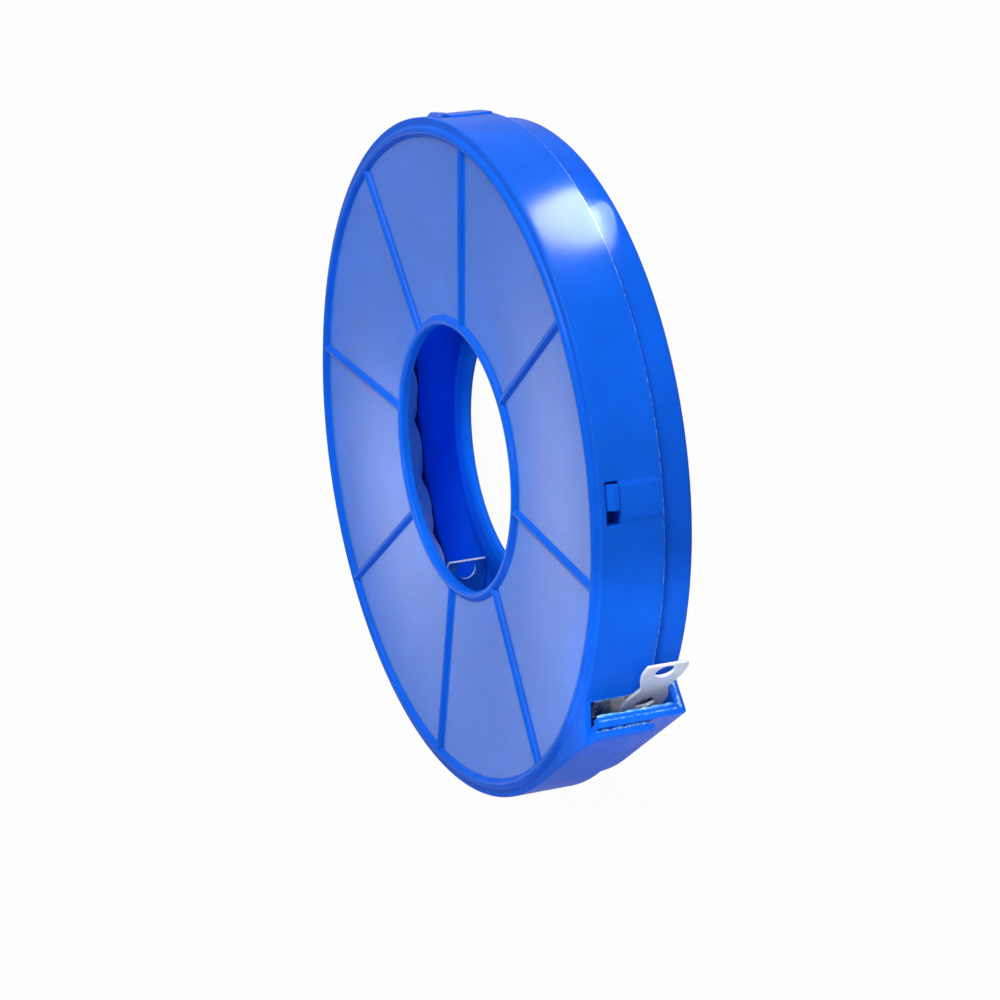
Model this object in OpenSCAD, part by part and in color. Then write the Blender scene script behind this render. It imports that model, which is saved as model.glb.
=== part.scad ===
// Perforated steel strap in a ring-shaped dispenser cassette
// Lies on its back face, ring axis along +Z, ribbed front panel up, millimetres

/* [Cassette] */
// Outside radius of the cassette's rim
rim_r = 90; // [84:0.5:110]
// Height from the back face to the front flange
cassette_h = 26.2; // [25:0.2:36]
// Radius of the central bore in both panels
bore_r = 35.4; // [25:0.2:42]
// Thickness of the front panel
panel_t = 1.5; // [1.3:0.1:2.2]
// Thickness of the back panel
back_t = 1.6; // [1.2:0.1:2.4]

/* [Front shell] */
// Thickness of the front shell's rim wall
front_wall = 1.8; // [1.4:0.1:2.4]
// Reach of the front shell's rim wall below the panel
skirt_h = 17.2; // [12:0.1:18]
// Drop of the dished front panel from the rim to the bore
panel_drop = 1.9; // [0.5:0.1:3]
// Width of the half-round beads
bead_w = 2.3; // [1.8:0.1:2.6]
// Width of the half-round ribs
rib_w = 2; // [1.2:0.1:2.1]
// Flat flange between the rim and the outer bead
flange_w = 2.3; // [2:0.1:5]
// Number of straight ribs on the front panel
rib_count = 8; // [4:1:12]
// Turn of the first rib from +X
rib_turn = 27; // [20:1:34]

/* [Back shell] */
// Play between the two rim walls
shell_gap = 0.5; // [0.3:0.1:1]
// Thickness of the back shell's rim wall
back_wall = 1.6; // [1.2:0.1:2]
// Rounding of the back edge
back_round = 1; // [0.4:0.1:1.4]
// Rise of the back panel's bore lip above the floor
dish_h = 5.7; // [4:0.1:9]
// Radius where the back panel starts to rise
dish_r = 60; // [52:0.5:62]
// Width of the flat lip around the back bore
lip_w = 3; // [2:0.1:5]

/* [Snaps] */
// Number of snaps around the rim
snap_count = 4; // [4:4:8]
// Turn of the first snap from +X
snap_turn = -3.3; // [-6:0.1:6]
// Width of a snap window along the rim
window_w = 10.9; // [9:0.1:14]
// Height of a snap window
window_h = 3.5; // [2.6:0.1:4.5]
// Depth of a snap window's top edge below the flange
window_top = 1.7; // [1.6:0.1:2.6]
// Width of a snap hook along the rim
hook_w = 6.4; // [4:0.1:8]
// Turn of a snap hook from the middle of its window
hook_shift = 1; // [0:0.1:1.2]
// Stand of a snap hook outside the rim
hook_out = 0.9; // [0.5:0.1:1.4]
// Stand of the pad below a snap window
pad_out = 0.4; // [0.2:0.1:0.5]

/* [Nose] */
// Direction of the nose's straight wall from +X
nose_turn = 25; // [20:0.2:28]
// Length of the front shell's straight wall
front_nose = 39.5; // [34:0.5:41]
// Reach of the front panel's corner along the straight wall
panel_nose = 34; // [30:0.5:38]
// Length of the back shell's straight wall
back_nose = 41; // [38:0.5:43]
// Angle where the round rim stops at the mouth
mouth_turn = -37.6; // [-38:0.2:-34]

/* [Strap] */
// Width of the strap over its lobes
strap_w = 12; // [10:0.5:14]
// Width of the strap at its necks
neck_w = 7.8; // [6.5:0.1:9]
// Thickness of the strap
strap_t = 0.8; // [0.6:0.1:1]
// Radius of the strap's holes
hole_r = 2.75; // [2:0.05:3]
// Spacing of the strap's holes
hole_pitch = 16.6; // [15:0.1:17]
// Strap left past the last hole's middle
end_run = 3.2; // [3:0.1:5]
// Depth of the wound coil, from its outside to its bore
coil_depth = 7.7; // [5.5:0.1:11]
// Play between the coil and the rim wall
coil_gap = 1.4; // [0.5:0.1:2]
// Grooves between turns shown on each end of the coil
turn_marks = 4; // [3:1:8]
// Bend radius of the tail in the nose
tail_bend = 240; // [220:5:300]
// Length of the tail from the coil to its cut end
tail_len = 55; // [53:0.5:66]
// Bend radius of the loose inner end
inner_bend = 53.5; // [51:0.5:58]
// Turn where the inner end leaves the coil
inner_turn = 300; // [270:1:330]
// Holes left open along the inner end
inner_holes = 5; // [2:1:5]
// Run of the inner end past its last waist, in hole spacings
inner_lead = 0.7; // [0.5:0.1:0.9]

/* [Hidden] */
$fn = 96;
blue = [0.09, 0.32, 0.82];
blue_back = [0.07, 0.27, 0.76];
zinc = [0.82, 0.84, 0.83];
blend = 0.05;
bead_r = bead_w / 2;
rib_r = min(rib_w, bead_w - 0.2) / 2;
bead_in = bore_r + bead_r - 0.15;
bead_out = rim_r - flange_w - bead_r;
panel_in_z = cassette_h - panel_drop;
rib_slope = atan(panel_drop / (bead_out - bead_in));
front_in = rim_r - front_wall;
back_r = front_in - shell_gap;
back_in = back_r - back_wall;
panel_z = cassette_h - panel_t;
back_top = panel_z - 0.06;
seam_z = cassette_h - skirt_h;
window_z = cassette_h - window_top - window_h;
coil_out = back_in - coil_gap;
coil_in = coil_out - coil_depth;
coil_h = strap_w + 0.3;
strap_z = back_t + coil_h / 2;
snap_step = 360 / snap_count;
pad_angle = 2 * asin((window_w - 0.8) / 2 / rim_r);
normal_turn = nose_turn - 90;
tail_r = coil_out - strap_t / 2 - 0.1;
tail_count = floor((tail_len - end_run) / hole_pitch);
tail_view = (tail_len - end_run - hole_pitch / 2) / tail_bend * 180 / PI;
lobe_r = strap_w / 2;
neck_half = neck_w / 2;
half_pitch = hole_pitch / 2;
waist_r = (half_pitch * half_pitch + neck_half * neck_half - lobe_r * lobe_r) / (2 * (lobe_r - neck_half));
inner_shift = coil_in + strap_t + 0.1 - inner_bend;
inner_step = hole_pitch / inner_bend * 180 / PI;
inner_rest = end_run / inner_bend * 180 / PI;
inner_sweep = inner_rest + (inner_holes + inner_lead) * inner_step;

// side plate of the nose, its inner edge following the disc it joins
module nose_plate(r, run) {
    span = mouth_turn - normal_turn;
    rotate(normal_turn)
        polygon(concat([[r - 2, -1], [r - blend, -1], [r - blend, run]],
            [for (i = [6 : -1 : 1]) [(r - 2) * cos(span * i / 6), (r - 2) * sin(span * i / 6)]]));
}

// straight wall of the nose, its first run inside the round rim
module nose_wall(r, thick, run) {
    rotate(normal_turn)
        translate([r - thick - 0.3, -1])
            square([thick + 0.3 - blend, run + 1]);
}

// sector between the straight wall and the end of the round rim
module mouth_sector(r) {
    rotate(normal_turn)
        polygon([[0, 0], [r, r * tan(4)], [r, r * tan(mouth_turn - normal_turn)]]);
}

// section of the dished front panel from the bore to the rim
module panel_section() {
    polygon([[bore_r, panel_in_z - panel_t], [bead_out, panel_z], [rim_r, panel_z], [rim_r, cassette_h],
        [bead_out, cassette_h], [bead_in, panel_in_z], [bore_r, panel_in_z]]);
}

// half-round section standing on y = 0, with a root below it
module half_round(r) {
    polygon(concat([for (a = [0 : 30 : 180]) [r * cos(a), r * sin(a)]], [[-r, -0.6], [r, -0.6]]));
}

// one straight rib up the slope of the panel, its ends inside the two beads
module rib() {
    translate([bead_in, 0, panel_in_z])
        rotate([0, -rib_slope, 0])
            translate([0.4, 0, 0])
                rotate([90, 0, 90])
                    linear_extrude((bead_out - bead_in) / cos(rib_slope) - 0.8)
                        half_round(rib_r);
}

// one bead around the ring axis, standing on the panel at height z
module bead(r, z) {
    rotate_extrude()
        translate([r, z])
            half_round(bead_r);
}

// raised pad from a snap window down to just above the edge of the skirt
module pad() {
    rotate([0, 0, -pad_angle / 2])
        rotate_extrude(angle = pad_angle)
            translate([rim_r - 1, seam_z + 0.3])
                square([1 + pad_out, window_z - seam_z + 0.1]);
}

// opening through the rim wall for one hook
module window() {
    translate([back_r - 0.3, -window_w / 2, window_z])
        cube([front_wall + 4, window_w, window_h]);
}

module front_shell() {
    color(blue)
    difference() {
        union() {
            rotate_extrude()
                panel_section();
            translate([0, 0, panel_z])
                linear_extrude(panel_t)
                    nose_plate(rim_r, panel_nose);
            translate([0, 0, seam_z])
                linear_extrude(skirt_h - panel_t / 2) {
                    difference() {
                        circle(r = rim_r);
                        circle(r = front_in);
                        mouth_sector(rim_r + 5);
                    }
                    nose_wall(rim_r, front_wall, front_nose);
                }
            bead(bead_in, panel_in_z);
            bead(bead_out, cassette_h);
            for (i = [0 : rib_count - 1])
                rotate([0, 0, rib_turn + i * 360 / rib_count])
                    rib();
            for (i = [0 : snap_count - 1])
                rotate([0, 0, snap_turn + i * snap_step])
                    pad();
        }
        translate([0, 0, seam_z])
            cylinder(r = bore_r, h = skirt_h + 6);
        for (i = [0 : snap_count - 1])
            rotate([0, 0, snap_turn + i * snap_step])
                window();
    }
}

// hook that springs into a window, with a sloped lead-in on top
module hook() {
    translate([0, hook_w / 2, 0])
        rotate([90, 0, 0])
            linear_extrude(hook_w)
                polygon([[back_r - 0.2, window_z + 0.2], [rim_r + hook_out, window_z + 0.2],
                    [rim_r + hook_out, window_z + window_h / 2], [rim_r - 0.4, window_z + window_h - 0.3],
                    [back_r - 0.2, window_z + window_h - 0.3]]);
}

// section of the dished back panel from the bore lip to the rim
module back_section() {
    polygon([[bore_r, dish_h - back_t], [bore_r + lip_w, dish_h - back_t], [dish_r, 0], [back_r - back_round, 0],
        [back_r - back_round, back_t], [dish_r + 0.5, back_t], [bore_r + lip_w + 0.5, dish_h], [bore_r, dish_h]]);
}

// round part of the back shell's rim with its rounded back edge
module back_rim() {
    rotate_extrude()
        difference() {
            union() {
                translate([back_in, back_round])
                    square([back_wall, back_top - back_round]);
                translate([back_in - 1, 0])
                    square([back_wall + 1 - back_round, back_t]);
                translate([back_r - back_round, back_round])
                    circle(r = back_round);
            }
            translate([back_in - 3, back_t])
                square([3, panel_z]);
        }
}

// clears the round rim away between the straight wall and the mouth
module mouth_clear() {
    translate([0, 0, back_t])
        linear_extrude(cassette_h)
            difference() {
                mouth_sector(rim_r + 5);
                circle(r = back_in - 1);
            }
}

module back_shell() {
    color(blue_back) {
        difference() {
            union() {
                rotate_extrude()
                    back_section();
                back_rim();
            }
            mouth_clear();
        }
        linear_extrude(back_t)
            nose_plate(back_r, back_nose);
        linear_extrude(back_top)
            nose_wall(back_r, back_wall, back_nose);
        for (i = [0 : snap_count - 1])
            rotate([0, 0, snap_turn + hook_shift + i * snap_step])
                hook();
    }
}

// section of the wound coil with grooves between turns on both ends
module coil_section() {
    step = (coil_out - coil_in) / (turn_marks + 1);
    difference() {
        translate([coil_in, back_t])
            square([coil_out - coil_in, coil_h]);
        for (i = [1 : turn_marks]) {
            translate([coil_in + i * step, back_t])
                polygon([[-0.3, -1], [0.3, -1], [0.3, 0], [0, 0.6], [-0.3, 0]]);
            translate([coil_in + i * step, back_t + coil_h])
                polygon([[-0.3, 1], [0.3, 1], [0.3, 0], [0, -0.6], [-0.3, 0]]);
        }
    }
}

// flat pattern of the tail, its cut end at x = 0 and its lobes along -x
module tail_pattern() {
    difference() {
        translate([-tail_len - 2, -lobe_r])
            square([tail_len + 2, strap_w]);
        for (i = [0 : tail_count - 1])
            translate([-end_run - i * hole_pitch, 0])
                circle(r = hole_r);
        for (i = [0 : tail_count - 1], s = [-1, 1])
            translate([-end_run - (i + 0.5) * hole_pitch, s * (neck_half + waist_r)])
                circle(r = waist_r);
    }
}

// tail: the flat pattern laid on a wide bend that starts where the coil ends
module tail() {
    rotate([0, 0, normal_turn])
        translate([tail_r - tail_bend, 0, 0])
            intersection() {
                difference() {
                    cylinder(r = tail_bend + strap_t / 2, h = cassette_h, $fn = 360);
                    translate([0, 0, -1])
                        cylinder(r = tail_bend - strap_t / 2, h = cassette_h + 2, $fn = 360);
                }
                rotate([0, 0, tail_view])
                    translate([tail_bend - 20, half_pitch + end_run, strap_z])
                        rotate([90, 0, 90])
                            linear_extrude(30)
                                tail_pattern();
            }
}

// loose inner end: a strip bent inside the coil, with holes and waists cut through it
module inner_end() {
    rotate([0, 0, inner_turn])
        translate([inner_shift, 0, 0])
            rotate([0, 0, -inner_sweep])
                difference() {
                    translate([0, 0, strap_z - strap_w / 2])
                        rotate_extrude(angle = inner_sweep)
                            translate([inner_bend - strap_t, 0])
                                square([strap_t, strap_w]);
                    for (i = [0 : inner_holes - 1]) {
                        rotate([0, 0, inner_rest + i * inner_step])
                            translate([inner_bend - 5, 0, strap_z])
                                rotate([0, 90, 0])
                                    cylinder(r = hole_r, h = 10);
                        for (s = [-1, 1])
                            rotate([0, 0, inner_rest + (i + 0.5) * inner_step])
                                translate([inner_bend - 5, 0, strap_z + s * (neck_half + 8)])
                                    rotate([0, 90, 0])
                                        cylinder(r = 8, h = 10);
                    }
                }
}

module strap() {
    color(zinc) {
        rotate_extrude()
            coil_section();
        tail();
        inner_end();
    }
}

front_shell();
back_shell();
strap();
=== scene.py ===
import math
import random

import bmesh
import bpy
from mathutils import Matrix, Vector


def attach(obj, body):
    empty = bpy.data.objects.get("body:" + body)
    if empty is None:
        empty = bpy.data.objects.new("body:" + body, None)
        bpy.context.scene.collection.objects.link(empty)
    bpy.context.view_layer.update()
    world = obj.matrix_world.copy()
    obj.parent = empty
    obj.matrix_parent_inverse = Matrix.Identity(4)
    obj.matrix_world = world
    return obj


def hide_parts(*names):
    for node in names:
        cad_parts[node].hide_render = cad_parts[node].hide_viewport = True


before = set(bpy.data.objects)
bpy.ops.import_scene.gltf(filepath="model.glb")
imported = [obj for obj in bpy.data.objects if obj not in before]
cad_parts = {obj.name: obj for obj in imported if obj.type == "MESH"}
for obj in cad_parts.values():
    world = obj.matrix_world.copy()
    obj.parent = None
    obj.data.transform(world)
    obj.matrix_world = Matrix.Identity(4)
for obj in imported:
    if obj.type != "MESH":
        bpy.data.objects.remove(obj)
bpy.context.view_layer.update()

# Camera
# The cassette lies on its back and is seen from low on its right side, through a long lens
# that is rolled a quarter turn, so that the ring's +Y side is up in the picture.
lens = bpy.data.cameras.new("camera")
lens.sensor_width = 36
lens.lens = 125.74
camera = bpy.data.objects.new("camera", lens)
camera_back = Vector((0.9099, 0.1259, 0.3952)).normalized()
camera_up = camera_back.cross(Vector((0.4075, -0.0933, -0.9084))).normalized()
camera_right = camera_up.cross(camera_back)
camera_axes = Matrix((camera_right, camera_up, camera_back)).transposed()
camera.matrix_world = Matrix.Translation((0.84316, 0.10407, 0.3793)) @ camera_axes.to_4x4()
bpy.context.scene.collection.objects.link(camera)
bpy.context.scene.camera = camera

# Back shell
# The lower half of the cassette is one moulding of blue polypropylene: a dished panel with a bore,
# a rim wall that slides up inside the front shell, and a nose whose wall runs straight to the mouth.
# Sizes are millimetres, and turns are degrees from the line where the nose leaves the round rim.
mm = 0.001
nose_turn = -65
rim_r = 90
bore_r = 35.4
lip_w = 3
dish_r = 54
dish_h = 5.7
back_t = 1.6
foot_r = 82
back_r = 87.7
back_in = 86.1
back_top = 24.6
back_nose = 41
back_stop = 27.4
snap_count = 4
snap_turn = -3.3
window_z = 21.0
window_h = 3.5
window_w = 10.9
slot_edge = 1.1
rim_blue = (0.004, 0.130, 0.80)


class Wire:
    """A socket of a node tree, with arithmetic that adds Math nodes."""

    def __init__(self, nodes, socket):
        self.nodes = nodes
        self.socket = socket

    def maths(self, operation, first, second):
        return self.nodes.node("ShaderNodeMath", {"operation": operation}, {0: first, 1: second}, 0)

    def __add__(self, other):
        return self.maths("ADD", self, other)

    def __sub__(self, other):
        return self.maths("SUBTRACT", self, other)

    def __rsub__(self, other):
        return self.maths("SUBTRACT", other, self)

    def __mul__(self, other):
        return self.maths("MULTIPLY", self, other)

    def __rtruediv__(self, other):
        return self.maths("DIVIDE", other, self)

    def __gt__(self, other):
        return self.maths("GREATER_THAN", self, other)

    __radd__ = __add__
    __rmul__ = __mul__


class Nodes:
    """A node tree, and the one way to add a node with its settings, values and links."""

    def __init__(self, tree):
        self.tree = tree

    def feed(self, node, values):
        for key, value in values.items():
            if isinstance(value, Wire):
                self.tree.links.new(value.socket, node.inputs[key])
            else:
                node.inputs[key].default_value = value

    def node(self, kind, settings, values, output):
        made = self.tree.nodes.new(kind)
        for key, value in settings.items():
            if key == "stops":
                for stop, (place, colour) in zip(made.color_ramp.elements, value):
                    stop.position = place
                    stop.color = colour
            else:
                setattr(made, key, value)
        self.feed(made, values)
        return Wire(self, made.outputs[output])


class Finish(Nodes):
    """One material: its Principled shader and the nodes that feed it."""

    def __init__(self, name, plain):
        self.material = bpy.data.materials.new(name)
        self.material.use_nodes = True
        super().__init__(self.material.node_tree)
        self.shader = self.tree.nodes["Principled BSDF"]
        self.feed(self.shader, plain)

    def grain(self, scale, detail=2, place=None):
        place = place or self.node("ShaderNodeTexCoord", {}, {}, "Object")
        sizes = {"Vector": place, "Scale": scale, "Detail": detail}
        return self.node("ShaderNodeTexNoise", {}, sizes, 0)

    def mix(self, share, one, other):
        return self.node("ShaderNodeMix", {"data_type": "RGBA"}, {0: share, 6: one, 7: other}, 2)

    def ramp(self, value, low, high):
        stops = [(low, (0, 0, 0, 1)), (high, (1, 1, 1, 1))]
        return self.node("ShaderNodeValToRGB", {"stops": stops}, {"Fac": value}, 0)

    def bump(self, height, depth):
        return self.node("ShaderNodeBump", {}, {"Height": height, "Distance": depth, "Strength": 1.0}, 0)


def blue_plastic(name, blue, shine, gloss, spread, scale, depth):
    """Moulded polypropylene: clouded pigment, a gloss that varies and the tool's fine grain."""
    deep = [share * 0.88 for share in blue]
    plastic = Finish(name, {"IOR": 1.49, "Specular IOR Level": shine})
    cloud = plastic.ramp(plastic.grain(70, 3), 0.35, 0.7)
    fine = plastic.grain(scale, 3)
    scuff = plastic.ramp(plastic.grain(1600, 4), 0.5, 0.75)
    plastic.feed(plastic.shader, {
        "Base Color": plastic.mix(cloud, (*deep, 1), (*blue, 1)),
        "Roughness": fine * spread + scuff * 0.05 + gloss,
        "Normal": plastic.bump(fine, depth),
    })
    return plastic.material


def pale_plastic(name, blue, white, low, high):
    """The same plastic where it is torn, cut or flashed: stressed white in patches."""
    pale = Finish(name, {"IOR": 1.49})
    patch = pale.ramp(pale.grain(900, 4), low, high)
    fine = pale.grain(2600, 3)
    pale.feed(pale.shader, {
        "Base Color": pale.mix(patch, (*blue, 1), (*white, 1)),
        "Roughness": fine * 0.3 + 0.35,
        "Normal": pale.bump(fine, 0.0001),
    })
    return pale.material


rim_look = {"shine": 0.07, "gloss": 0.2, "spread": 0.08, "scale": 900, "depth": 0.00001}
inside_look = {"shine": 0.0, "gloss": 0.5, "spread": 0.1, "scale": 2600, "depth": 0.00002}
back_gloss = blue_plastic("back_gloss", rim_blue, **rim_look)
back_matt = blue_plastic("back_matt", rim_blue, **inside_look)
torn_plastic = pale_plastic("torn_plastic", (0.02, 0.25, 0.80), (0.42, 0.72, 0.92), low=0.40, high=0.70)


def rounded(corners):
    """A closed outline whose corners (x, y, radius) are turned into arcs."""
    outline = []
    for i, (x, y, radius) in enumerate(corners):
        corner = Vector((x, y))
        before = (Vector(corners[i - 1][:2]) - corner).normalized()
        after = (Vector(corners[(i + 1) % len(corners)][:2]) - corner).normalized()
        if radius == 0:
            outline.append((x, y))
            continue
        half = before.angle(after) / 2
        centre = corner + (before + after).normalized() * radius / math.sin(half)
        start = corner + before * radius / math.tan(half) - centre
        stop = corner + after * radius / math.tan(half) - centre
        turn = math.atan2(start.cross(stop), start.dot(stop))
        steps = max(2, math.ceil(abs(turn) / math.radians(16)))
        for k in range(steps + 1):
            outline.append(tuple(centre + Matrix.Rotation(turn * k / steps, 2) @ start))
    return outline


def nearest(section, r, z):
    """Index of the section's corner that is nearest to (r, z)."""
    return min(range(len(section)), key=lambda i: math.hypot(section[i][0] - r, section[i][1] - z))


def nose_reach(turn, r, run, mouth_stop):
    """Distance from the ring axis to the wall: straight, then back across the mouth, then round."""
    if turn >= mouth_stop:
        return r
    if turn <= math.degrees(math.atan2(run, r)):
        return r / math.cos(math.radians(turn))
    stop = Vector((math.cos(math.radians(mouth_stop)), math.sin(math.radians(mouth_stop)))) * r
    edge = stop - Vector((r, run))
    ray = Vector((math.cos(math.radians(turn)), math.sin(math.radians(turn))))
    return Vector((r, run)).cross(edge) / ray.cross(edge)


def ring_turns(edges):
    """Turns round the ring every half degree, with each given edge in the place of its neighbours."""
    return sorted(edges + [i / 2 for i in range(720) if min(abs(i / 2 - edge) for edge in edges) > 0.2])


def ring_point(r, turn, z):
    angle = math.radians(turn + nose_turn)
    return Vector((r * math.cos(angle), r * math.sin(angle), z)) * mm


def turned_body(section, turns, place, cuts):
    """Carries a closed section round the ring. A cut (start, stop, gone, seams, cap) leaves some of the
    section's sides out between two turns, joins the seams across it and caps both of its ends."""
    body = bmesh.new()
    columns = [[body.verts.new(place(r, turn, z)) for r, z in section] for turn in turns]
    caps = {}
    for here, there, turn in zip(columns, columns[1:] + columns[:1], turns):
        missing = set()
        for start, stop, gone, seams, cap in cuts:
            if start <= turn < stop:
                missing.update(gone)
                for one, other in seams:
                    body.faces.new((here[one], there[one], there[other], here[other]))
            if turn in (start, stop):
                caps[turn] = body.faces.new([here[i] for i in cap])
        for i in range(len(section)):
            if i not in missing:
                k = (i + 1) % len(section)
                body.faces.new((here[i], there[i], there[k], here[k]))
    bmesh.ops.recalc_face_normals(body, faces=body.faces)
    body.normal_update()
    return body, caps


def window_cut(section, outer, inner, start, stop):
    """A cut through a wall from the snap windows' lower edge to their upper edge."""
    top_out = nearest(section, outer, window_z + window_h)
    low_out = nearest(section, outer, window_z)
    low_in = nearest(section, inner, window_z)
    top_in = nearest(section, inner, window_z + window_h)
    sides = [min(top_out, low_out), min(low_in, top_in)]
    return start, stop, sides, [(top_out, top_in), (low_out, low_in)], [top_out, low_out, low_in, top_in]


def mouth_cut(section, top, root, start, stop):
    """A cut that takes the wall away from its top corner round to its root."""
    low = min(top, root)
    high = max(top, root)
    return start, stop, range(low, high), [(low, high)], range(low, high + 1)


def finish_piece(name, body, slot, *finishes):
    """Makes the mesh a shaded piece of the cassette."""
    mesh = bpy.data.meshes.new(name)
    body.to_mesh(mesh)
    body.free()
    for finish in finishes:
        mesh.materials.append(finish)
    mesh.shade_smooth()
    mesh.set_sharp_from_angle(angle=math.radians(35))
    piece = bpy.data.objects.new(name, mesh)
    bpy.context.scene.collection.objects.link(piece)
    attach(piece, "root")
    return piece


back_section = rounded([
    (bore_r, dish_h - back_t, 0.3), (bore_r + lip_w, dish_h - back_t, 2), (dish_r, 0, 5), (back_r, 0, 1.2),
    (back_r, window_z, 0), (back_r, window_z + window_h, 0), (back_r, back_top, 0), (back_in, back_top, 0),
    (back_in, window_z + window_h, 0), (back_in, window_z, 0), (back_in, back_t, 0.8),
    (dish_r + 0.5, back_t, 5), (bore_r + lip_w + 0.5, dish_h, 2), (bore_r, dish_h, 0.3),
])
back_tip = math.degrees(math.atan2(back_nose, back_r))
window_half = math.degrees(window_w / 2 / rim_r)
snap_turns = [(snap_turn - nose_turn + i * 360 / snap_count) % 360 for i in range(snap_count)]


def back_place(r, turn, z):
    """Corners of the rim wall and its foot follow the nose, and the dished panel stays round."""
    share = min(max((r - foot_r) / (back_in - foot_r), 0), 1)
    return ring_point(r + share * (nose_reach(turn, back_r, back_nose, back_stop) - back_r), turn, z)


wall_foot = nearest(back_section, back_r, 1.2)
wall_root = nearest(back_section, back_in, 2.4)
back_cuts = [mouth_cut(back_section, wall_foot, wall_root, back_tip, back_stop)]
for middle in snap_turns:
    back_cuts.append(window_cut(back_section, back_r, back_in, middle - window_half, middle - slot_edge))
back_edges = [edge for cut in back_cuts for edge in cut[:2]]
back_body = turned_body(back_section, ring_turns(back_edges), back_place, back_cuts)[0]
for face in back_body.faces:
    reach = face.calc_center_median().to_2d().length / mm
    face.material_index = int(face.normal.z > 0.3 and reach < back_in)
back_shell = finish_piece("back_shell_body", back_body, "back_plastic", back_gloss, back_matt)
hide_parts("back_shell")

# Back nose lip
# The back shell's straight wall is thickened where it stops at the mouth, and its end is left rough where
# the moulding was trimmed, with pale torn fins standing on it and along the edge of the nose's side plate.
lip_in = 84.9
lip_out = back_r - 0.15
lip_low = 1.4
lip_high = 24.4
lip_start = 38.6
fin_step = 0.22
fin_half = 0.3
nose_axis = Vector((math.cos(math.radians(nose_turn)), math.sin(math.radians(nose_turn)), 0))
nose_along = Vector((-nose_axis.y, nose_axis.x, 0))
nose_frame = Matrix((nose_axis, nose_along, Vector((0, 0, 1)))).transposed()


def prism(outline, low, high, bevel):
    """A bar with an outline in x and z, reaching along y, the edges of its far end softened."""
    bar = bmesh.new()
    ends = [[bar.verts.new((x, y, z)) for x, z in outline] for y in (low, high)]
    caps = [bar.faces.new(end) for end in ends]
    for i in range(len(outline)):
        k = (i + 1) % len(outline)
        bar.faces.new((ends[0][i], ends[0][k], ends[1][k], ends[1][i]))
    bmesh.ops.recalc_face_normals(bar, faces=bar.faces)
    if bevel:
        bmesh.ops.bevel(bar, geom=caps[1].edges[:], offset=bevel, segments=2, profile=0.5, affect="EDGES")
    bar.normal_update()
    return bar


def nose_bar(outline, low, high):
    """A bar of the nose: outline across and up, reaching along the straight wall to its end."""
    bar = prism(outline, low, high, 0.2)
    bmesh.ops.transform(bar, matrix=(nose_frame * mm).to_4x4(), verts=bar.verts)
    return bar


def torn_fin(body, start, stop, out, side, reach, seed):
    """Adds a ragged fin of torn plastic along an edge of the nose, from one point to another."""
    roll = random.Random(seed)
    start = Vector(start)
    count = round((Vector(stop) - start).length / fin_step)
    height = 0.5
    rows = []
    for i in range(count + 1):
        height = min(max(height + roll.uniform(-0.3, 0.3), 0.3), 1)
        foot = start.lerp(Vector(stop), i / count)
        crest = foot + Vector(out) * reach * height + Vector(side) * roll.uniform(-0.15, 0.15)
        row = (foot - Vector(side) * fin_half, crest, foot + Vector(side) * fin_half)
        rows.append([body.verts.new(nose_frame @ point * mm) for point in row])
    for here, there in zip(rows, rows[1:]):
        for i in range(3):
            k = (i + 1) % 3
            body.faces.new((here[i], there[i], there[k], here[k]))
    body.faces.new(rows[0])
    body.faces.new(rows[-1])
    bmesh.ops.recalc_face_normals(body, faces=body.faces)


lip_outline = rounded([
    (lip_in, lip_low, 0.4), (lip_out, lip_low, 0.4), (lip_out, lip_high, 0.4), (lip_in, lip_high, 0.4),
])
finish_piece("back_nose_lip", nose_bar(lip_outline, lip_start, back_nose), "back_plastic", back_gloss)
back_fins = bmesh.new()
torn_fin(back_fins, (lip_in + 0.2, back_nose - 0.3, 2.0), (lip_in + 0.2, back_nose - 0.3, 24.2),
         out=(-0.9, 0.4, 0), side=(0.4, 0.9, 0), reach=0.8, seed=3)
torn_fin(back_fins, (lip_in + 1.2, back_nose - 0.1, 2.0), (lip_in + 1.2, back_nose - 0.1, 24.2),
         out=(0, 1, 0), side=(1, 0, 0), reach=0.35, seed=4)
plate_stop = Vector((math.cos(math.radians(back_stop)), math.sin(math.radians(back_stop)))) * back_r
torn_fin(back_fins, (back_in, back_nose - 0.1, 1.2), (plate_stop.x + 1, plate_stop.y, 1.2),
         out=(0, 0.3, 0.95), side=(0, 0.95, -0.3), reach=0.8, seed=5)
finish_piece("back_torn_fins", back_fins, "back_plastic", torn_plastic)

# Snap hooks
# Four hooks moulded on the outside of the back shell's rim spring out through the front shell's windows
# and hold the two halves together. Each has a sloped lead-in on top and square flanks.
hook_w = 6.4
hook_shift = 1.0
hook_out = rim_r + 0.9
hook_low = window_z + 0.2
hook_crest = 22.8
hook_top = window_z + window_h - 0.3


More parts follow.
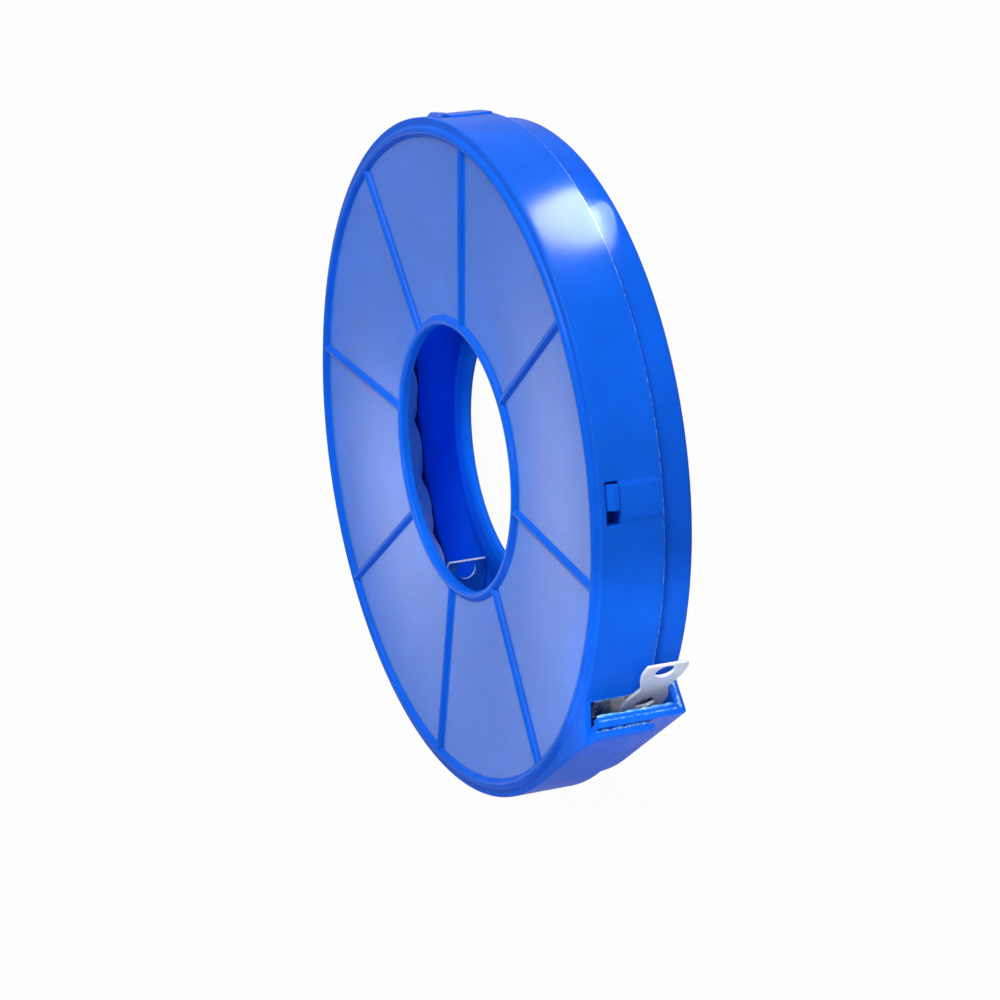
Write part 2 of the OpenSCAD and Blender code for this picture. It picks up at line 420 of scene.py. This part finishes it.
class Recipe(Nodes):
    """A Geometry Nodes tree with named inputs, run once to make a plain mesh."""

    def __init__(self, name, inlets):
        super().__init__(bpy.data.node_groups.new(name, "GeometryNodeTree"))
        self.labels = {}
        for label, kind in inlets.items():
            kind = "NodeSocket" + kind
            self.labels[label] = self.tree.interface.new_socket(label, in_out="INPUT", socket_type=kind)
        self.tree.interface.new_socket("Made", in_out="OUTPUT", socket_type="NodeSocketGeometry")
        self.inside = self.tree.nodes.new("NodeGroupInput")

    def inlet(self, label):
        return Wire(self, self.inside.outputs[label])

    def make(self, start, made, finish, values):
        solid = self.node("GeometryNodeRealizeInstances", {}, {0: made}, 0)
        painted = self.node("GeometryNodeSetMaterial", {}, {"Geometry": solid, "Material": finish}, 0)
        self.feed(self.tree.nodes.new("NodeGroupOutput"), {"Made": painted})
        holder = bpy.data.objects.new(start.name, start)
        bpy.context.scene.collection.objects.link(holder)
        modifier = holder.modifiers.new("make", "NODES")
        modifier.node_group = self.tree
        for label, value in values.items():
            modifier[self.labels[label].identifier] = value
        mesh = bpy.data.meshes.new_from_object(holder.evaluated_get(bpy.context.evaluated_depsgraph_get()))
        bpy.data.objects.remove(holder)
        body = bmesh.new()
        body.from_mesh(mesh)
        return body


def plain_mesh(name, body):
    mesh = bpy.data.meshes.new(name)
    body.to_mesh(mesh)
    body.free()
    return mesh


def ring_repeat(name, bar, count, first_turn, finish):
    """Repeats a bar in millimetres round the ring axis."""
    bmesh.ops.scale(bar, vec=(mm, mm, mm), verts=bar.verts)
    recipe = Recipe(name + "_round_the_ring", {"Piece": "Geometry", "Count": "Int", "First turn": "Float"})
    line = {"Count": recipe.inlet("Count"), "Offset": (0, 0, 0)}
    points = recipe.node("GeometryNodeMeshLine", {}, line, "Mesh")
    index = recipe.node("GeometryNodeInputIndex", {}, {}, 0)
    turn = index * (2 * math.pi / recipe.inlet("Count")) + recipe.inlet("First turn")
    spin = recipe.node("ShaderNodeCombineXYZ", {}, {"Z": turn}, 0)
    round_ring = {"Points": points, "Instance": recipe.inlet("Piece"), "Rotation": spin}
    made = recipe.node("GeometryNodeInstanceOnPoints", {}, round_ring, 0)
    values = {"Count": count, "First turn": math.radians(first_turn)}
    return recipe.make(plain_mesh(name, bar), made, finish, values)


hook_outline = rounded([
    (back_in, hook_low, 0), (hook_out, hook_low, 0.35), (hook_out, hook_crest, 0.6),
    (rim_r - 0.4, hook_top, 0.3), (back_in, hook_top, 0),
])
hook = prism(hook_outline, -hook_w / 2, hook_w / 2, 0.3)
hooks = ring_repeat("hooks", hook, snap_count, snap_turn + hook_shift, back_gloss)
finish_piece("snap_hooks", hooks, "back_plastic", back_gloss)

# Strap
# Hot-dip galvanised steel strip, 12 mm wide over its lobes, punched with a hole in every lobe and waisted
# between them. It is wound from the loose inner end to the tail that leaves through the nose.
strap_t = 0.8
strap_z = 8
lobe_half = 6.0
neck_half = 3.9
neck_cut = 1.15
hole_r = 2.75
hole_pitch = 16.6
end_run = 3.2
fine_sides = 20
plain_sides = 6
inner_fine = 6
tail_fine = 4
coil_start_r = 77.5
coil_end_r = 84.2
turn_gap = 0.02
inner_bend = 57.9
inner_sweep = 87.4
inner_turn = 300
inner_hook = 67.6
inner_hook_run = 16
tail_bend = 240
tail_len = 55
bright_inner = 35
bright_run = 200
dull_tail = 34


def strap_route():
    """Points along the middle of the strap: the hooked inner end, the wound turns, then the tail."""
    leave = math.radians(inner_turn)
    centre = Vector((math.cos(leave), math.sin(leave))) * (coil_start_r - inner_bend)
    heading = leave - math.radians(inner_sweep)
    points = [centre + Vector((math.cos(heading), math.sin(heading))) * inner_bend]
    for _ in range(inner_hook_run):
        heading -= math.radians(inner_hook / inner_hook_run)
        points.insert(0, points[0] + Vector((math.sin(heading), -math.cos(heading))))
    arc_steps = 60
    for i in range(1, arc_steps):
        angle = leave - math.radians(inner_sweep) * (1 - i / arc_steps)
        points.append(centre + Vector((math.cos(angle), math.sin(angle))) * inner_bend)
    turn_count = round((coil_end_r - coil_start_r) / (strap_t + turn_gap))
    total = math.radians(turn_count * 360 + nose_turn % 360 - inner_turn)
    steps = turn_count * 180
    for i in range(steps):
        angle = leave + total * i / steps
        radius = coil_start_r + (coil_end_r - coil_start_r) * i / steps
        points.append(Vector((math.cos(angle), math.sin(angle))) * radius)
    tail_steps = 40
    for i in range(tail_steps + 1):
        angle = tail_len / tail_bend * i / tail_steps
        swing = nose_axis * math.cos(angle) + nose_along * math.sin(angle)
        points.append((nose_axis * (coil_end_r - tail_bend) + swing * tail_bend).to_2d())
    return points


def route_length(route):
    """Length of the strap along its route, in millimetres."""
    return sum((b - a).length for a, b in zip(route, route[1:]))


def strap_lobe(step, pieces):
    """One pitch of flat strap in metres: a holed lobe between two half necks, open where the next joins."""
    half = step / 2
    wave = [half - step * i / pieces for i in range(pieces + 1)]
    swell = [math.sqrt(0.52 + 0.5 * math.cos(2 * math.pi * x / step)) for x in wave]
    depth = (lobe_half - neck_half) * neck_cut
    edge = [(x, lobe_half - depth * (max(swell) - share)) for x, share in zip(wave, swell)]
    rim = edge + [(-x, -z) for x, z in edge]
    lobe = bmesh.new()
    layers = []
    for y in (-strap_t / 2, strap_t / 2):
        outer = [lobe.verts.new(Vector((x, y, z)) * mm) for x, z in rim]
        angles = [math.pi * (0.5 + (2 * i - pieces) / len(rim)) for i in range(len(rim))]
        inner = [lobe.verts.new(Vector((hole_r * math.cos(a), y, hole_r * math.sin(a))) * mm) for a in angles]
        layers.append((outer, inner))
    (low_out, low_in), (high_out, high_in) = layers
    for i in range(len(rim)):
        k = (i + 1) % len(rim)
        lobe.faces.new((low_out[i], low_out[k], low_in[k], low_in[i]))
        lobe.faces.new((high_out[i], high_out[k], high_in[k], high_in[i]))
        lobe.faces.new((low_in[i], low_in[k], high_in[k], high_in[i]))
        if abs(rim[i][0] - rim[k][0]) > 0.01:
            lobe.faces.new((low_out[i], low_out[k], high_out[k], high_out[i]))
    bmesh.ops.recalc_face_normals(lobe, faces=lobe.faces)
    return lobe


def lobe_row(step, pieces, first, count, finish):
    """Like lobes laid end to end, from one hole of the strap on."""
    recipe = Recipe("strap_lobes", {"Lobe": "Geometry", "Count": "Int", "Start": "Vector", "Step": "Vector"})
    line = {"Start Location": recipe.inlet("Start"), "Offset": recipe.inlet("Step")}
    line["Count"] = recipe.inlet("Count")
    points = recipe.node("GeometryNodeMeshLine", {}, line, "Mesh")
    laid = {"Points": points, "Instance": recipe.inlet("Lobe")}
    row = recipe.node("GeometryNodeInstanceOnPoints", {}, laid, 0)
    values = {"Count": count, "Start": ((end_run + first * step) * mm, 0, 0), "Step": (step * mm, 0, 0)}
    return recipe.make(plain_mesh("strap_lobe", strap_lobe(step, pieces)), row, finish, values)


def flat_strap(length, finish):
    """Straight strap of a given length, finer at its two loose ends, and cut square there."""
    count = round((length - 2 * end_run) / hole_pitch) + 1
    step = (length - 2 * end_run) / (count - 1)
    strip = bmesh.new()
    rows = [
        (fine_sides, 0, inner_fine),
        (plain_sides, inner_fine, count - inner_fine - tail_fine),
        (fine_sides, count - tail_fine, tail_fine),
    ]
    for pieces, first, some in rows:
        row = plain_mesh("strap_row", lobe_row(step, pieces, first, some, finish))
        strip.from_mesh(row)
    bmesh.ops.remove_doubles(strip, verts=strip.verts, dist=0.00001)
    for place, way in ((0, -1), (length * mm, 1)):
        whole = strip.verts[:] + strip.edges[:] + strip.faces[:]
        cut = bmesh.ops.bisect_plane(strip, geom=whole, plane_co=(place, 0, 0), plane_no=(way, 0, 0),
                                     clear_outer=True)
        ends = [item for item in cut["geom_cut"] if isinstance(item, bmesh.types.BMEdge)]
        bmesh.ops.holes_fill(strip, edges=ends, sides=0)
    return strip


def wound_strap(finish):
    """Bends the flat strap onto its route, and keeps each point's flat place for the zinc's streaks."""
    route = strap_route()
    length = route_length(route)
    path = bpy.data.meshes.new("strap_route")
    steps = [(i, i + 1) for i in range(len(route) - 1)]
    path.from_pydata([Vector((p.x, p.y, strap_z)) * mm for p in route], steps, [])
    guide = bpy.data.objects.new("strap_route", path)
    bpy.context.scene.collection.objects.link(guide)
    recipe = Recipe("strap_bend", {"Strap": "Geometry", "Route": "Object"})
    place = recipe.node("GeometryNodeInputPosition", {}, {}, 0)
    keep = {"Geometry": recipe.inlet("Strap"), "Name": "flat", "Value": place}
    kept = recipe.node("GeometryNodeStoreNamedAttribute", {"data_type": "FLOAT_VECTOR"}, keep, 0)
    flat = recipe.tree.nodes.new("ShaderNodeSeparateXYZ")
    recipe.feed(flat, {0: place})
    guide_mesh = recipe.node("GeometryNodeObjectInfo", {}, {"Object": recipe.inlet("Route")}, "Geometry")
    curve = recipe.node("GeometryNodeMeshToCurve", {}, {"Mesh": guide_mesh}, 0)
    sample = recipe.tree.nodes.new("GeometryNodeSampleCurve")
    sample.mode = "LENGTH"
    recipe.feed(sample, {"Curves": curve, "Length": Wire(recipe, flat.outputs["X"])})
    upright = {0: (0, 0, 1), 1: Wire(recipe, sample.outputs["Tangent"])}
    inward = recipe.node("ShaderNodeVectorMath", {"operation": "CROSS_PRODUCT"}, upright, 0)
    thick = {0: inward, "Scale": Wire(recipe, flat.outputs["Y"])}
    offset = recipe.node("ShaderNodeVectorMath", {"operation": "SCALE"}, thick, 0)
    rise = recipe.node("ShaderNodeCombineXYZ", {}, {"Z": Wire(recipe, flat.outputs["Z"])}, 0)
    across = recipe.node("ShaderNodeVectorMath", {"operation": "ADD"}, {0: offset, 1: rise}, 0)
    middle = Wire(recipe, sample.outputs["Position"])
    bent = recipe.node("ShaderNodeVectorMath", {"operation": "ADD"}, {0: middle, 1: across}, 0)
    made = recipe.node("GeometryNodeSetPosition", {}, {"Geometry": kept, "Position": bent}, 0)
    body = recipe.make(plain_mesh("strap_flat", flat_strap(length, finish)), made, finish, {"Route": guide})
    bpy.data.objects.remove(guide)
    return body


def zinc_coat():
    """Zinc streaked along the strip by the rolls: still bright at the inner end and inside the nose, dull
    elsewhere, with bare steel where it was sheared and punched."""
    zinc = Finish("zinc_coat", {})
    flat = zinc.node("ShaderNodeAttribute", {"attribute_name": "flat"}, {}, "Vector")
    place = zinc.tree.nodes.new("ShaderNodeSeparateXYZ")
    zinc.feed(place, {0: flat})
    run = Wire(zinc, place.outputs["X"])
    depth = Wire(zinc, place.outputs["Y"])
    tail_end = route_length(strap_route()) * mm
    into_nose = (run > tail_end - bright_run * mm) - (run > tail_end - dull_tail * mm)
    dull = (run > bright_inner * mm) - into_nose
    sheared = 1 - (depth * depth > (0.45 * strap_t * mm) ** 2)
    stretch = zinc.node("ShaderNodeMapping", {}, {"Vector": flat, "Scale": (60, 2500, 2500)}, 0)
    streak = zinc.grain(1, 3, stretch) * dull
    spangle = zinc.grain(420, 2)
    zinc.feed(zinc.shader, {
        "Base Color": zinc.mix(spangle, (0.66, 0.69, 0.69, 1), (0.86, 0.88, 0.87, 1)),
        "Metallic": (1 - dull * 0.5 - spangle * 0.2 * dull) * (1 - sheared * 0.8),
        "Roughness": streak * 0.2 + spangle * 0.12 + dull * 0.15 + 0.15,
        "Normal": zinc.bump(streak, 0.000005),
    })
    return zinc.material


zinc_finish = zinc_coat()
strap = finish_piece("strap_wound", wound_strap(zinc_finish), "zinc_steel", zinc_finish)
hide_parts("strap")

# Front shell
# The upper half is a second blue moulding: a dished front panel with a grained skin between two polished
# half-round beads, a flat flange, and a rim wall with four snap windows and a thickened pad below each.
# A thin pale flash is left along the wall's lower edge, where the mould parts.
rim_in = 88.2
flange_r = 88.0
panel_edge = 85.0
bead_foot = 38.0
panel_top = 26.2
panel_under = 24.7
bead_top = 27.35
seam_z = 9.0
strap_clear_z = 14.2
front_plate = 34
front_nose = 39.5
front_stop = 26.5
lean_span = 1.2
lean_share = 0.75
pad_out = 0.4
pad_half = window_half - 0.25
pad_edge = 0.12
window_bevel = 0.22
panel_blue = (0.005, 0.155, 0.80)
panel_look = {"shine": 0.5, "gloss": 0.18, "spread": 0.1, "scale": 3600, "depth": 0.000012}
front_gloss = blue_plastic("front_gloss", rim_blue, **rim_look)
front_grain = blue_plastic("front_grain", panel_blue, **panel_look)
flash_plastic = pale_plastic("flash_plastic", rim_blue, (0.30, 0.60, 0.92), low=0.46, high=0.68)
front_section = rounded([
    (bore_r, 22.8, 0.2), (bore_r, 25.45, 0.9), (37.3, 25.45, 0.9), (bead_foot, 24.36, 0.4),
    (panel_edge, 26.14, 0.4), (85.75, bead_top, 1.2), (87.35, bead_top, 1.2), (flange_r, panel_top, 0.35),
    (rim_r, panel_top, 0.4), (rim_r, window_z + window_h, 0), (rim_r, window_z, 0), (rim_r, strap_clear_z, 0),
    (rim_r, seam_z + 0.5, 0), (rim_r, seam_z, 0.28), (rim_in, seam_z, 0.12), (rim_in, strap_clear_z, 0),
    (rim_in, window_z, 0), (rim_in, window_z + window_h, 0), (rim_in, panel_under, 0), (86.5, panel_under, 0),
    (bead_foot, 22.82, 0),
])
front_tip = math.degrees(math.atan2(front_plate, rim_r))


def front_place(r, turn, z):
    """Corners of the rim wall follow the nose, stand out over each pad and clear the strap at the mouth."""
    share = min(max((r - flange_r) / (rim_in - flange_r), 0), 1)
    reach = r + share * (nose_reach(turn, rim_r, front_plate, front_stop) - rim_r)
    if r == rim_r and seam_z + 0.4 < z <= window_z:
        reach += pad_out * any(abs(turn - middle) <= pad_half for middle in snap_turns)
    if front_stop <= turn < front_stop + lean_span and z < strap_clear_z and share == 1:
        turn += lean_share * (front_stop + lean_span - turn)
    return ring_point(reach, turn, z)


wall_top = nearest(front_section, rim_r, window_z + window_h)
wall_under = nearest(front_section, rim_in, panel_under)
front_cuts = [mouth_cut(front_section, wall_top, wall_under, front_tip, front_stop)]
for middle in snap_turns:
    front_cuts.append(window_cut(front_section, rim_r, rim_in, middle - window_half, middle + window_half))
front_edges = [edge for cut in front_cuts for edge in cut[:2]]
for middle in snap_turns:
    for side in (-1, 1):
        front_edges += [middle + side * pad_half, middle + side * (pad_half + pad_edge)]
front_edges.append(front_stop + lean_span)
front_body, front_caps = turned_body(front_section, ring_turns(front_edges), front_place, front_cuts)
for face in front_body.faces:
    middle = face.calc_center_median() / mm
    reach = math.hypot(middle.x, middle.y)
    if bead_foot + 0.3 < reach < panel_edge - 0.2 and face.normal.z > 0.5:
        face.material_index = 1
    if reach > rim_r - 0.3 and middle.z < seam_z + 0.3:
        face.material_index = 2
front_caps[front_stop].material_index = 3
window_edges = []
for edge in front_body.edges:
    middle = (edge.verts[0].co + edge.verts[1].co) / 2 / mm
    turn = (math.degrees(math.atan2(middle.y, middle.x)) - nose_turn) % 360
    by_window = min(abs(turn - snap) for snap in snap_turns) < window_half + 0.05
    if by_window and window_z - 0.1 < middle.z < window_z + window_h + 0.1 and edge.calc_face_angle(0) > 1:
        window_edges.append(edge)
bmesh.ops.bevel(front_body, geom=window_edges, offset=window_bevel * mm, segments=2, profile=0.5,
                affect="EDGES")
front_shell = finish_piece("front_shell_body", front_body, "front_plastic", front_gloss, front_grain,
                           flash_plastic, torn_plastic)
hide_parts("front_shell")

# Front ribs
# Eight straight half-round ribs are moulded on the front panel between its two beads. They are polished like
# the beads, so they read darker than the grained skin beside them.
rib_count = 8
rib_turn = 27
rib_h = 1.0
rib_half = 1.25
rib_root = -0.4
rib_foot = (36.4, 0, 24.3)
rib_start = 0.6
rib_stop = 49.6
panel_drop = 1.9
panel_run = 50.15
rib_slope = math.atan2(panel_drop, panel_run)
rib_outline = rounded([
    (-rib_half, rib_root, 0), (-rib_half, -0.02, 0.2), (-0.6, rib_h, 0.75), (0.6, rib_h, 0.75),
    (rib_half, -0.02, 0.2), (rib_half, rib_root, 0),
])
rib = prism(rib_outline, rib_start, rib_stop, 0)
up_the_panel = Matrix.Rotation(-rib_slope, 4, "Y") @ Matrix.Rotation(-math.pi / 2, 4, "Z")
bmesh.ops.transform(rib, matrix=Matrix.Translation(rib_foot) @ up_the_panel, verts=rib.verts)
ribs = ring_repeat("ribs", rib, rib_count, rib_turn, front_gloss)
finish_piece("front_ribs", ribs, "front_plastic", front_gloss)

# Front nose end
# The front shell's straight wall runs a little past the corner of its panel and stops at the mouth, with torn
# fins along the inside of its end and along the end of the round wall across the mouth.
end_in = rim_in - 0.2
end_top = 25.4
end_outline = rounded([
    (end_in, seam_z, 0.2), (rim_r, seam_z, 0.2), (rim_r, end_top, 0.4), (end_in, end_top, 0.4),
])
finish_piece("front_nose_end", nose_bar(end_outline, front_plate, front_nose), "front_plastic", front_gloss)
front_fins = bmesh.new()
torn_fin(front_fins, (rim_in, front_nose - 0.2, seam_z + 0.2), (rim_in, front_nose - 0.2, 24.8),
         out=(-0.7, 0.7, 0), side=(0.7, 0.7, 0), reach=0.6, seed=6)
round_end = Vector((math.cos(math.radians(front_stop)), math.sin(math.radians(front_stop)))) * (rim_r - 0.1)
torn_fin(front_fins, (round_end.x, round_end.y, strap_clear_z + 0.3), (round_end.x, round_end.y, 24.4),
         out=(0.75, -0.65, 0), side=(0.65, 0.75, 0), reach=0.6, seed=7)
finish_piece("front_torn_fins", front_fins, "front_plastic", torn_plastic)

# Floor and light
# A plain white floor that keeps a faint shadow of the object, under a pale sky and large soft lamps.
# The gloss cards are white boards that show only in polished and grained surfaces. The inner glow is
# daylight that has come through the blue wall, and the beams pick out the bore, the tail and its neck.
floor_body = bmesh.new()
bmesh.ops.create_grid(floor_body, x_segments=1, y_segments=1, size=8)
floor = bpy.data.objects.new("floor", plain_mesh("floor", floor_body))
bpy.context.scene.collection.objects.link(floor)
paper = Finish("floor_paper", {"Base Color": (0.6, 0.6, 0.6, 1), "Roughness": 0.9, "Specular IOR Level": 0.0})
ray = paper.tree.nodes.new("ShaderNodeLightPath")
seen = Wire(paper, ray.outputs["Is Camera Ray"])
mirrored = Wire(paper, ray.outputs["Is Glossy Ray"]) + Wire(paper, ray.outputs["Is Transmission Ray"])
white = paper.node("ShaderNodeEmission", {}, {"Color": (1, 1, 1, 1), "Strength": 1.0}, 0)
lit = Wire(paper, paper.shader.outputs[0])
blend = paper.node("ShaderNodeMixShader", {}, {0: seen * 0.97 + mirrored * 0.15, 1: lit, 2: white}, 0)
paper.feed(paper.tree.nodes["Material Output"], {"Surface": blend})
floor.data.materials.append(paper.material)

world = bpy.data.worlds.new("studio")
bpy.context.scene.world = world
world.use_nodes = True
sky = world.node_tree.nodes["Background"]
sky.inputs["Color"].default_value = (0.92, 0.96, 1.0, 1)
sky.inputs["Strength"].default_value = 0.38


def soft_lamp(name, place, target, size, power, gloss_only=False, colour=(0.94, 0.97, 1.0)):
    """A soft lamp out of the camera's sight that faces a target: a square one, or an oval gloss card."""
    data = bpy.data.lights.new(name, "AREA")
    data.shape = "ELLIPSE" if gloss_only else "RECTANGLE"
    data.size, data.size_y = size
    data.energy = power
    data.color = colour
    lamp = bpy.data.objects.new(name, data)
    lamp.location = place
    lamp.rotation_mode = "QUATERNION"
    lamp.rotation_quaternion = (Vector(target) - Vector(place)).to_track_quat("-Z", "Y")
    lamp.visible_camera = False
    lamp.visible_diffuse = not gloss_only
    bpy.context.scene.collection.objects.link(lamp)


def beam_lamp(name, place, target, angle, power):
    """A narrow lamp that lights one small place on the object."""
    data = bpy.data.lights.new(name, "SPOT")
    data.energy = power
    data.spot_size = math.radians(angle)
    data.spot_blend = 0.5
    data.shadow_soft_size = 0.03
    lamp = bpy.data.objects.new(name, data)
    lamp.location = place
    lamp.rotation_mode = "QUATERNION"
    lamp.rotation_quaternion = (Vector(target) - Vector(place)).to_track_quat("-Z", "Y")
    bpy.context.scene.collection.objects.link(lamp)


soft_lamp("side_lamp", (0.72, 0.98, 0.6), (0, 0, 0), (0.6, 0.6), 14.2)
soft_lamp("top_lamp", (0.1, 1.0, 0.85), (0, 0, 0), (0.6, 0.6), 2)
soft_lamp("low_lamp", (0.05, -0.95, 0.3), (0.03, -0.05, 0), (0.4, 0.4), 3.2, colour=(0.5, 0.62, 1.0))
soft_lamp("panel_card", (-0.9, -0.135, 0.355), (0, 0, 0.02), (0.16, 0.1), 0.12, gloss_only=True)
soft_lamp("panel_low_card", (-0.9, -0.15, 0.45), (0, 0, 0.02), (0.2, 0.1), 0.05, gloss_only=True)
soft_lamp("panel_patch", (-0.9, 0.02, 0.46), (0, 0, 0.02), (0.06, 0.06), 0.04, gloss_only=True)
soft_lamp("rim_card", (0.067, 0.094, 0.001), (0.067, 0.094, 1), (0.027, 0.05), 0.24, gloss_only=True)
soft_lamp("band_card", (0.066, 0.0712, 0.001), (0.066, 0.0712, 1), (0.017, 0.017), 0.027, gloss_only=True)
soft_lamp("inner_glow", (-0.06, 0, 0.021), (-0.06, 0, 0), (0.02, 0.11), 0.006, colour=(0.02, 0.35, 1.0))
beam_lamp("bore_beam", (0.25, 0.03, 0.36), (-0.008, 0.0, 0.024), 6.6, 8)
beam_lamp("tail_beam", (0.37, -0.003, 0.28), (0.0795, -0.0545, 0.0085), 2.6, 40)
beam_lamp("neck_beam", (0.516, -0.003, 0.218), (0.0668, -0.0588, 0.0078), 1.4, 45)
bpy.context.scene.view_settings.view_transform = "Standard"
